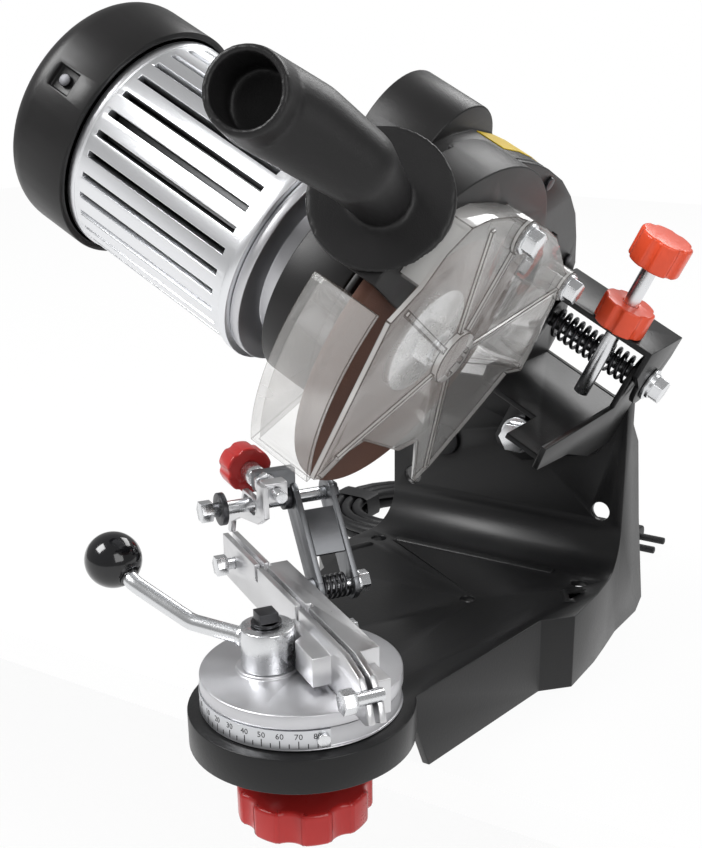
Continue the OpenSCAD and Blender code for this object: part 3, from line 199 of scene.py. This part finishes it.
class Finish:
    def __init__(self, name):
        self.material = bpy.data.materials.new(name)
        self.material.use_nodes = True
        self.tree = self.material.node_tree
        self.tree.nodes.clear()

    def node(self, kind, settings=None, sockets=None, out=0):
        made = self.tree.nodes.new("ShaderNode" + kind)
        for name, value in (settings or {}).items():
            if name == "stops":
                while len(made.color_ramp.elements) < len(value):
                    made.color_ramp.elements.new(1.0)
                for stop, (place, colour) in zip(made.color_ramp.elements, value):
                    stop.position = place
                    stop.color = colour
            else:
                setattr(made, name, value)
        for name, value in (sockets or {}).items():
            if isinstance(value, Value):
                self.tree.links.new(value.socket, made.inputs[name])
            else:
                made.inputs[name].default_value = value
        return Value(self, made.outputs[out]) if made.outputs else made

    def noise(self, scale, detail=3.0, stretch=None):
        place = self.node("TexCoord", out="Object")
        if stretch:
            place = self.node("Mapping", {}, {"Vector": place, "Scale": stretch})
        return self.node("TexNoise", {}, {"Vector": place, "Scale": scale, "Detail": detail})

    def blend(self, share, first, second):
        made = {0: share, 6: first, 7: second}
        return self.node("Mix", {"data_type": "RGBA"}, made, out=2)

    def surface(self, **sockets):
        shader = self.node("BsdfPrincipled", {}, {k.replace("_", " "): v for k, v in sockets.items()})
        self.node("OutputMaterial", {}, {"Surface": shader})
        return self.material


def rgb(red, green, blue, factor=1.0):
    return (red * factor, green * factor, blue * factor, 1.0)


print("shader helpers ready")

# %% [markdown]
# Moulded plastic is never one flat colour: the mould's fine spark texture breaks the highlight, and
# slow changes of gloss show where it has been handled. Both come from noise on Object coordinates.
# The motor's aluminium also darkens with depth, measured from the motor's own axis: this is painted
# shade, standing in for the shadow in the slots between its fins.


# %% Moulded and painted finishes
def moulded(name, colour, rough, grain, scale, change=0.25, coat=0.0, shine=0.3):
    finish = Finish(name)
    fine = finish.noise(scale, 4.0)
    broad = finish.noise(28.0, 4.0)
    base = finish.blend(broad, rgb(*colour, 1 - change), rgb(*colour, 1 + change))
    bump = finish.node("Bump", {}, {"Height": fine, "Distance": grain, "Strength": 0.7})
    rough_here = broad * 0.16 + fine * 0.08 + (rough - 0.12)
    return finish.surface(Base_Color=base, Roughness=rough_here, Normal=bump, Coat_Weight=coat,
                          Coat_Roughness=0.12, Specular_IOR_Level=shine)


def plated(name, colour, rough, grain, scale, change=0.1, stretch=None):
    finish = Finish(name)
    fine = finish.noise(scale, 5.0, stretch)
    broad = finish.noise(60.0, 5.0)
    base = finish.blend(broad, rgb(*colour, 1 - change), rgb(*colour, min(1 + change, 1 / max(colour))))
    bump = finish.node("Bump", {}, {"Height": fine, "Distance": grain, "Strength": 0.6})
    rough_here = broad * 0.18 + fine * 0.1 + (rough - 0.14)
    return finish.surface(Base_Color=base, Metallic=1.0, Roughness=rough_here, Normal=bump)


WHEEL_AXIS = (0.8934, 0.0, -0.4493)
WHEEL_CENTRE = (0.0626, -0.1704, 0.1726)
SLOT_FLOOR = 0.0415
FIN_TOP = 0.0476


def finned_with_painted_slot_shade(name, colour, rough, grain, scale):
    finish = Finish(name)
    fine = finish.noise(scale, 5.0)
    place = finish.node("TexCoord", out="Object")
    arm = finish.node("VectorMath", {"operation": "SUBTRACT"}, {0: place, 1: WHEEL_CENTRE})
    across = finish.node("VectorMath", {"operation": "CROSS_PRODUCT"}, {0: arm, 1: WHEEL_AXIS})
    reach = finish.node("VectorMath", {"operation": "LENGTH"}, {0: across}, out="Value")
    depth = {"Value": reach, "From Min": SLOT_FLOOR, "From Max": FIN_TOP}
    high = finish.node("MapRange", {}, depth)
    # painted shade: the colour falls to 5 % of itself at the slot floors and rises to full at the fin tops
    base = finish.blend(high ** 2.0, rgb(*colour, 0.05), rgb(*colour))
    bump = finish.node("Bump", {}, {"Height": fine, "Distance": grain, "Strength": 0.6})
    rough_here = fine * 0.12 + (rough - 0.06)
    return finish.surface(Base_Color=base, Metallic=1.0, Roughness=rough_here, Normal=bump)


FINISH = {
    "bracket_black": moulded("bracket_black", (0.009, 0.009, 0.0095), 0.34, 0.00008, 700.0, shine=0.34),
    "cord_rubber": moulded("cord_rubber", (0.012, 0.012, 0.013), 0.5, 0.00005, 2500.0),
    "head_plastic": moulded("head_plastic", (0.014, 0.0135, 0.0138), 0.4, 0.00009, 2300.0),
    "cap_plastic": moulded("cap_plastic", (0.013, 0.0125, 0.0128), 0.36, 0.00006, 2300.0),
    "handle_plastic": moulded("handle_plastic", (0.012, 0.0116, 0.012), 0.4, 0.0001, 1900.0),
    "ball_black": moulded("ball_black", (0.006, 0.006, 0.007), 0.1, 0.000005, 300.0, coat=0.6),
    "knob_red": moulded("knob_red", (0.47, 0.022, 0.02), 0.3, 0.00003, 900.0, 0.12, 0.25),
    "knob_orange": moulded("knob_orange", (0.78, 0.085, 0.032), 0.32, 0.00003, 900.0, 0.1, 0.2),
    "switch_red": moulded("switch_red", (0.62, 0.018, 0.018), 0.26, 0.00002, 900.0, 0.08, 0.3),
    "label_yellow": moulded("label_yellow", (0.86, 0.6, 0.03), 0.34, 0.00001, 500.0, 0.05),
    "zinc": plated("zinc", (0.76, 0.77, 0.785), 0.27, 0.000004, 900.0, 0.06),
    "jaw_steel": plated("jaw_steel", (0.7, 0.7, 0.71), 0.34, 0.000006, 900.0, 0.1, (1, 1, 9)),
    "cast_table": plated("cast_table", (0.66, 0.66, 0.68), 0.42, 0.00004, 1500.0, 0.1),
    "scale_plate": plated("scale_plate", (0.66, 0.67, 0.69), 0.34, 0.00001, 900.0, 0.06),
    "dark_steel": plated("dark_steel", (0.075, 0.075, 0.08), 0.4, 0.00003, 1200.0, 0.2),
    "dark_plate": plated("dark_plate", (0.2, 0.205, 0.215), 0.42, 0.00004, 900.0, 0.15),
    "motor_aluminium": finned_with_painted_slot_shade("motor_aluminium", (0.86, 0.87, 0.89), 0.34, 0.00006, 1300.0),
    "winding": plated("winding", (0.6, 0.28, 0.13), 0.4, 0.0001, 700.0, 0.2, (1, 9, 9)),
    "abrasive": moulded("abrasive", (0.085, 0.04, 0.028), 0.86, 0.0004, 1500.0, 0.3),
}
print(len(FINISH), "solid finishes")

# %% [markdown]
# The guard is clear polycarbonate that has gone hazy: it veils what is behind it with a cream tint,
# and shows darkest and most solid where it is seen edge on. Alpha carries that veil, which also
# survives in an exported model, where true refraction would not. Ribs and rims stand across the
# wheel's axis, so the angle between a face and that axis makes them read as solid pale lines, which
# is painted highlight. Stretched noise streaks add painted glare to the veil.

# %% The clear guard's finish
def clear(name, ribs, veil):
    finish = Finish(name)
    edge_on = finish.node("LayerWeight", {}, {"Blend": 0.5}, out="Facing")
    haze = finish.noise(22.0, 4.0)
    # painted glare: stretched noise streaks raise the alpha under the pale tint, as painted reflections
    painted_glare = finish.node("ValToRGB", {"stops": [(0.48, rgb(0, 0, 0)), (0.62, rgb(1, 1, 1))]},
                        {"Fac": finish.noise(14.0, 1.0, (1, 1, 2.2))})
    faces = finish.node("TexCoord", out="Normal")
    flat = finish.node("VectorMath", {"operation": "DOT_PRODUCT"}, {0: faces, 1: WHEEL_AXIS},
                       out="Value")
    # painted highlight: faces that stand across the wheel's axis take more alpha under the pale tint
    wall = 1.0 - finish.node("Math", {"operation": "ABSOLUTE"}, {0: flat})
    tint = finish.blend(edge_on ** 2.2, rgb(0.95, 0.94, 0.92), rgb(0.06, 0.05, 0.045))
    seen = edge_on ** 3.0 * 0.45 + wall ** 0.7 * ribs + haze * 0.06 + painted_glare * 0.16 + veil
    return finish.surface(Base_Color=tint, Roughness=0.06, Alpha=seen, Coat_Weight=1.0,
                          Coat_Roughness=0.03)


FINISH["guard_clear"] = clear("guard_clear", 0.36, 0.09)
SHELL_CLEAR = clear("guard_shell_clear", 0.03, 0.1)
rim = Finish("guard_rim")
RIM_LINE = rim.surface(Base_Color=rgb(0.09, 0.075, 0.065), Roughness=0.1, Alpha=rim.noise(60.0) * 0.4 + 0.3)
print("guard finish made")

# %% [markdown]
# Every CAD node starts from the finish that its record names, so nothing is left plain.

# %% Finishes onto the nodes
NODE_FINISH = {}
for name, node in frame["nodes"].items():
    for place in node.material_slots:
        key = place.material.name.split(".")[0] if place.material else ""
        if key in FINISH:
            NODE_FINISH[name] = key
            place.material = FINISH[key]
print("finishes from the frame:", len(NODE_FINISH))

# %% [markdown]
# Sheet steel, castings and mouldings all have small rounded edges, and the highlight along them is
# what makes a part look solid. Each CAD node that shows is copied, its triangles are merged and
# dissolved into whole faces, and a Bevel rounds every edge sharper than 30 degrees.

# %% Round the edges of a node's copy
SAME_POINT = 2e-6
SAME_FACE = 0.6


def alone(piece):
    bpy.ops.object.select_all(action="DESELECT")
    piece.select_set(True)
    bpy.context.view_layer.objects.active = piece


def start(add, **settings):
    bpy.ops.object.select_all(action="DESELECT")
    add(**settings)
    return bpy.context.object


def edited(piece, *steps):
    alone(piece)
    bpy.ops.object.mode_set(mode="EDIT")
    bpy.ops.mesh.select_all(action="SELECT")
    for step in steps:
        step()
    bpy.ops.object.mode_set(mode="OBJECT")


def finished(piece, smooth=35):
    alone(piece)
    for change in list(piece.modifiers):
        bpy.ops.object.modifier_apply(modifier=change.name)
    bpy.ops.object.shade_smooth_by_angle(angle=math.radians(smooth))
    return piece


def copy_of(node):
    piece = bpy.data.objects.new(node + "_form", frame["nodes"][node].data.copy())
    scene.collection.objects.link(piece)
    edited(piece, lambda: bpy.ops.mesh.remove_doubles(threshold=SAME_POINT),
           lambda: bpy.ops.mesh.dissolve_limited(angle_limit=math.radians(SAME_FACE)))
    return piece


def bevelled(piece, width, segments, angle):
    bevel = piece.modifiers.new("edges", "BEVEL")
    bevel.width = width
    bevel.segments = segments
    bevel.limit_method = "ANGLE"
    bevel.angle_limit = math.radians(angle)
    bevel.use_clamp_overlap = False
    return bevel


def stands_for(piece, node, finish=None):
    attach(piece, frame["nodes"][node]["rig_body"])
    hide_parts(node)
    key = finish or NODE_FINISH.get(node, "dark_steel")
    piece.data.materials.clear()
    piece.data.materials.append(FINISH[key])


def rounded(node, width, segments=2, angle=30):
    piece = copy_of(node)
    bevelled(piece, width, segments, angle).miter_outer = "MITER_SHARP"
    stands_for(finished(piece), node)


EDGES = {"base_frame": 0.0005, "tilt_bracket": 0.0004, "head_arm": 0.0004, "stop_plate": 0.0003,
         "turntable": 0.0006, "rear_jaw": 0.0004, "front_jaw": 0.0004, "cam_hub": 0.0006,
         "head_housing": 0.0008, "housing_lid": 0.0006, "motor_body": 0.0003, "motor_cap": 0.0005,
         "motor_bracket": 0.0006, "stop_tongue": 0.0003, "mains_plug": 0.0008,
         "cord_grommet": 0.0004, "switch_frame": 0.0004, "switch_rocker": 0.0003,
         # clamp_collar: a black collar where the red clamping knob's top lies in shade, which is painted
         # shade
         "clamp_collar": 0.0005}
for node, width in EDGES.items():
    rounded(node, width)
print(len(EDGES), "nodes have rounded edges")

# %% [markdown]
# The moulded knobs are softer still: their lobes are rounded over by a wide bevel of four segments.

# %% Knobs
for node, width in {"clamp_knob": 0.0022, "stop_knob": 0.0012, "depth_knob": 0.0014,
                    "lock_knob": 0.0012}.items():
    rounded(node, width, 4, 40)
print("four knobs rounded")

# %% [markdown]
# Bolt heads, nuts and washers are turned and plated, with a small chamfer on every corner.

# %% Fasteners
CHAMFER = 0.00025
for node in ("tilt_bolt", "scale_screws", "jaw_screws", "cam_post", "stop_bolt", "stop_rod",
             "stop_rings", "stop_screw", "hinge_bolt", "hinge_nut", "housing_screws", "cap_screws",
             "guard_bolts", "wheel_nut", "arm_screws", "depth_screw", "wheel_flanges"):
    rounded(node, CHAMFER, 2, 35)
print("fasteners chamfered")

# %% [markdown]
# Clear plastic is darkest along its edges, where light from inside it can't get out. A narrow bevel
# takes a darker finish on the guard's two pieces, and draws each rim and rib as a fine line.

# %% Guard pieces
RIM_WIDTH = 0.0004


def rimmed(node, body):
    piece = copy_of(node)
    piece.data.materials.clear()
    piece.data.materials.append(body)
    piece.data.materials.append(RIM_LINE)
    bevelled(piece, RIM_WIDTH, 2, 30).material = 1
    finished(piece)
    lines = [face.material_index for face in piece.data.polygons]
    stands_for(piece, node)
    piece.data.materials[0] = body
    piece.data.materials.append(RIM_LINE)
    for face, line in zip(piece.data.polygons, lines):
        face.material_index = line
    print(node, "has", sum(lines), "rim faces of", len(lines))


rimmed("guard_shell", SHELL_CLEAR)
rimmed("wheel_cover", FINISH["guard_clear"])
print("guard pieces made")

# %% [markdown]
# The handle is one soft moulding: a disc that flares into a bent grip with an open end. Remeshing
# its copy fuses the parts, and a few rounds of smoothing turn the creases into fillets.

# %% Handle
handle = copy_of("handle")
fuse = handle.modifiers.new("fuse", "REMESH")
fuse.mode = "VOXEL"
fuse.voxel_size = 0.001
soft = handle.modifiers.new("soft", "SMOOTH")
soft.factor = 0.5
soft.iterations = 7
stands_for(finished(handle, 50), "handle", "handle_plastic")
print("handle:", len(handle.data.polygons), "faces")


# %% [markdown]
# The vise's parts lie in the vise's own frame, turned 32.5 degrees on the bracket's front end, and
# the head's parts in a frame tilted 26.7 degrees. Two matrices carry points from there.

# %% The two turned frames
VISE = Matrix.Translation((0.011, -0.189, 0)) @ Matrix.Rotation(math.radians(-32.5), 4, "Z")
HEAD = Matrix.Translation((0.011, 0, 0.07)) @ Matrix.Rotation(math.radians(26.7), 4, "Y")


def in_frame(place, points):
    return [place @ (Vector(point) / 1000) for point in points]


print("vise centre", tuple(round(v, 4) for v in VISE.translation))

# %% [markdown]
# The clamping lever is a bent rod of 8 mm, with a polished ball on its end.

# %% Lever and ball
LEVER_R = 0.00398
LEVER_HUB = Vector((-5, -14, 0))
BALL_R = 0.01338
BALL_FLAT = 0.0122
BALL_WAY = Vector((-0.826, -0.338, 0.451))
RIM_OF_FLAT = 0.0007
RECESS = 0.0008
bend = [Vector(p) + LEVER_HUB for p in [(-8, -9, 31.9), (-20.6, -23.3, 34.9), (-24.6, -27.6, 36.0),
                                        (-28.6, -31.2, 38.3), (-43, -43.6, 47.3), (-47, -46.9, 49.9),
                                        (-50.3, -48.35, 51.7), (-58, -51.5, 55.9)]]
rod = wire("lever_rod_form", in_frame(VISE, smoothed(bend, 5)), LEVER_R, 8)
alone(rod)
bpy.ops.object.convert(target="MESH")
stands_for(finished(bpy.context.object), "lever_rod")
low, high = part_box("lever_ball")
centre = (low + high) / 2
ball = start(bpy.ops.mesh.primitive_uv_sphere_add, segments=64, ring_count=40, radius=BALL_R,
             location=centre)
ball.name = "lever_ball_form"
way = (VISE.to_3x3() @ BALL_WAY).normalized()
edited(ball, lambda: bpy.ops.mesh.bisect(plane_co=centre - way * BALL_FLAT, plane_no=-way,
                                         clear_outer=True, use_fill=True),
       lambda: bpy.ops.mesh.inset(thickness=RIM_OF_FLAT),
       lambda: bpy.ops.mesh.extrude_region_move(TRANSFORM_OT_translate={"value": -way * RECESS}))
bpy.ops.object.transform_apply(location=True, rotation=True, scale=True)
stands_for(finished(ball, 40), "lever_ball", "ball_black")
print("lever and ball made")


# %% [markdown]
# Both springs are wound from round wire. Each is a helix of its real curls: the lifting spring
# lies along the head's hinge, and the chain stop's spring along the stop's own bolt.

# %% Springs
def helix(count, radius, pitch, first):
    points = []
    for i in range(TURN_POINTS * count + 1):
        angle = 2 * math.pi * i / TURN_POINTS
        points.append((first + pitch * i / TURN_POINTS, radius * math.cos(angle),
                       radius * math.sin(angle)))
    return points


def wound(node, place, points, radius):
    alone(wire(node + "_form", in_frame(place, points), radius, 4))
    bpy.ops.object.convert(target="MESH")
    stands_for(finished(bpy.context.object), node)


HINGE = (14, 78)
LIFT_COIL = helix(count=12, radius=7.2, pitch=4.15, first=-7.4)
LIFT_WIRE_R = 0.00099
STOP_PIVOT = (-50, 31.5, 30)
STOP_COIL = helix(count=5, radius=5.6, pitch=2.68, first=0)
STOP_WIRE_R = 0.00079
lift = [(x, HINGE[0] + y, HINGE[1] + z) for x, y, z in LIFT_COIL]
stop = [(STOP_PIVOT[0] + y, STOP_PIVOT[1] + x, STOP_PIVOT[2] + z) for x, y, z in STOP_COIL]
wound("lift_spring", HEAD, lift, LIFT_WIRE_R)
wound("stop_spring", VISE, stop, STOP_WIRE_R)
print("two springs wound")

# %% [markdown]
# The scale is a strip bent round the table, marked every five degrees with a longer mark and a
# number every ten. The marks are thin raised ink, so they are modelled once and turned into place.

# %% Scale marks
ink = moulded("scale_ink", (0.02, 0.02, 0.022), 0.5, 0.00001, 900.0)
STRIP_R = 0.04702
MARK_FROM = -14
MARK_STEP = 5
MARKS = 33
LONG_MARK = 0.0036
SHORT_MARK = 0.0022
MARK_FOOT = 0.0022
MARK_WIDE = 0.00042
INK_THICK = 0.00008
NUMBER_FOOT = 0.0066
NUMBER_HIGH = 0.0038
UPRIGHT = Matrix.Rotation(math.radians(90), 4, "Z") @ Matrix.Rotation(math.radians(90), 4, "X")
marks = []
for step in range(MARKS):
    angle = math.radians(MARK_FROM - MARK_STEP * step)
    tall = LONG_MARK if step % 2 == 0 else SHORT_MARK
    mark = start(bpy.ops.mesh.primitive_cube_add, size=1, location=(STRIP_R, 0, MARK_FOOT + tall / 2))
    mark.scale = (INK_THICK, MARK_WIDE, tall)
    bpy.ops.object.transform_apply(location=True, rotation=True, scale=True)
    mark.data.transform(VISE @ Matrix.Rotation(angle, 4, "Z"))
    marks.append(mark)
    if step % 2 == 0:
        number = start(bpy.ops.object.text_add, location=(0, 0, 0))
        number.data.body = str(abs(step - MARKS // 2) * MARK_STEP)
        number.data.size = NUMBER_HIGH
        number.data.align_x = "CENTER"
        number.data.extrude = INK_THICK / 2
        number.data.resolution_u = 2
        bpy.ops.object.convert(target="MESH")
        number = bpy.context.object
        number.data.transform(UPRIGHT)
        for corner in number.data.vertices:
            spot = Vector((STRIP_R + corner.co.x, 0, corner.co.z + NUMBER_FOOT))
            corner.co = Matrix.Rotation(corner.co.y / STRIP_R, 3, "Z") @ spot
        number.data.transform(VISE @ Matrix.Rotation(angle, 4, "Z"))
        marks.append(number)
bpy.ops.object.select_all(action="DESELECT")
for mark in marks:
    mark.select_set(True)
bpy.context.view_layer.objects.active = marks[0]
bpy.ops.object.join()
scale_marks = bpy.context.object
scale_marks.name = "scale_marks"
scale_marks.data.materials.clear()
scale_marks.data.materials.append(ink)
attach(scale_marks, "vise")
print("scale:", len(marks), "marks and numbers")

# %% [markdown]
# A strap holds the coil together where it is put away. It is a thin band that goes round all turns.
# Its outline is how far each corner is from the coil's middle, and how high.

# %% Strap round the coil
STRAP_HALF = 0.008
STRAP_WALL = 0.0001
outline = [(27.0, -41.85), (57.2, -41.85), (58.2, -39), (58.0, -34), (56.4, -27.6), (53.5, -26.3),
           (30.5, -26.3), (27.3, -27.8), (26.4, -34), (26.2, -39.2)]
loop = [Vector((COIL_AT[0] - reach, COIL_AT[1], height)) / 1000 for reach, height in outline]
strap_mesh = bpy.data.meshes.new("coil_strap")
rows = [[p + Vector((0, side, 0)) for p in loop] for side in (-STRAP_HALF, STRAP_HALF)]
count = len(loop)
strap_mesh.from_pydata([*rows[0], *rows[1]], [],
                       [(i, (i + 1) % count, count + (i + 1) % count, count + i) for i in range(count)])
strap = bpy.data.objects.new("coil_strap", strap_mesh)
scene.collection.objects.link(strap)
edited(strap, lambda: bpy.ops.mesh.normals_make_consistent(inside=False))
wall = strap.modifiers.new("wall", "SOLIDIFY")
wall.thickness = STRAP_WALL
wall.offset = -1
finished(strap, 30)
strap.data.materials.append(FINISH["cord_rubber"])
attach(strap, "base")
cord.data.materials.append(FINISH["cord_rubber"])

# %% [markdown]
# The stage is a pale bench that the bracket stands on. It ends under the bracket, as a real bench
# does, because the vise's clamping knob hangs below the bench's top. To the camera, and in
# reflections, it is nearly white; it still takes the object's soft shadow.


# %% Bench, world and lamps
BENCH_SIZE = (4.0, 2.16, 0.02)
BENCH_AT = (0, 0.93, -0.0521)
FLOOR_SIZE = 8
FLOOR_Z = -0.35
WHITE_SHARE = 0.95
SOFT_SKY = 0.33


def pale(name, share):
    finish = Finish(name)
    ray = finish.node("LightPath", out="Is Camera Ray")
    gloss = finish.node("LightPath", out="Is Glossy Ray")
    through = finish.node("LightPath", out="Is Transmission Ray")
    seen = (ray + gloss + through) * share
    plain = finish.node("BsdfDiffuse", {}, {"Color": rgb(0.86, 0.86, 0.86)})
    white = finish.node("Emission", {}, {"Color": rgb(1, 1, 1), "Strength": 1.0})
    both = finish.node("MixShader", {}, {0: seen, 1: plain, 2: white})
    finish.node("OutputMaterial", {}, {"Surface": both})
    return finish.material


bench = start(bpy.ops.mesh.primitive_cube_add, size=1, location=BENCH_AT)
bench.name = "bench"
bench.scale = BENCH_SIZE
bpy.ops.object.transform_apply(location=True, rotation=True, scale=True)
bench.data.materials.append(pale("bench_white", WHITE_SHARE))
floor = start(bpy.ops.mesh.primitive_plane_add, size=FLOOR_SIZE, location=(0, 0, FLOOR_Z))
floor.name = "floor"
floor.data.materials.append(pale("floor_white", WHITE_SHARE))

world = bpy.data.worlds.new("studio")
scene.world = world
world.use_nodes = True
tree = world.node_tree
tree.nodes.clear()


def sky(strength):
    light = tree.nodes.new("ShaderNodeBackground")
    light.inputs["Color"].default_value = (1, 1, 1, 1)
    light.inputs["Strength"].default_value = strength
    return light


soft_sky = sky(SOFT_SKY)
white_sky = sky(1.0)
path = tree.nodes.new("ShaderNodeLightPath")
choice = tree.nodes.new("ShaderNodeMixShader")
result = tree.nodes.new("ShaderNodeOutputWorld")
tree.links.new(path.outputs["Is Camera Ray"], choice.inputs[0])
tree.links.new(soft_sky.outputs[0], choice.inputs[1])
tree.links.new(white_sky.outputs[0], choice.inputs[2])
tree.links.new(choice.outputs[0], result.inputs["Surface"])


def lamp(name, place, target, size, power):
    light = bpy.data.lights.new(name, "AREA")
    light.shape = "RECTANGLE"
    light.size = size[0]
    light.size_y = size[1]
    light.energy = power
    holder = bpy.data.objects.new(name, light)
    holder.location = place
    holder.rotation_euler = (Vector(target) - Vector(place)).to_track_quat("-Z", "Y").to_euler()
    scene.collection.objects.link(holder)


lamp("key", (-0.9, -1.1, 1.5), (0, -0.08, 0.1), (0.9, 0.9), 36)
lamp("fill", (1.5, -0.8, 0.9), (0, -0.1, 0.1), (1.1, 1.1), 13)
lamp("rim", (0.2, 1.3, 1.3), (0, 0, 0.12), (1.2, 0.6), 15)
print("stage and lamps set")

# %% [markdown]
# The last cell only prints a closing line.

# %% End
print("script done")
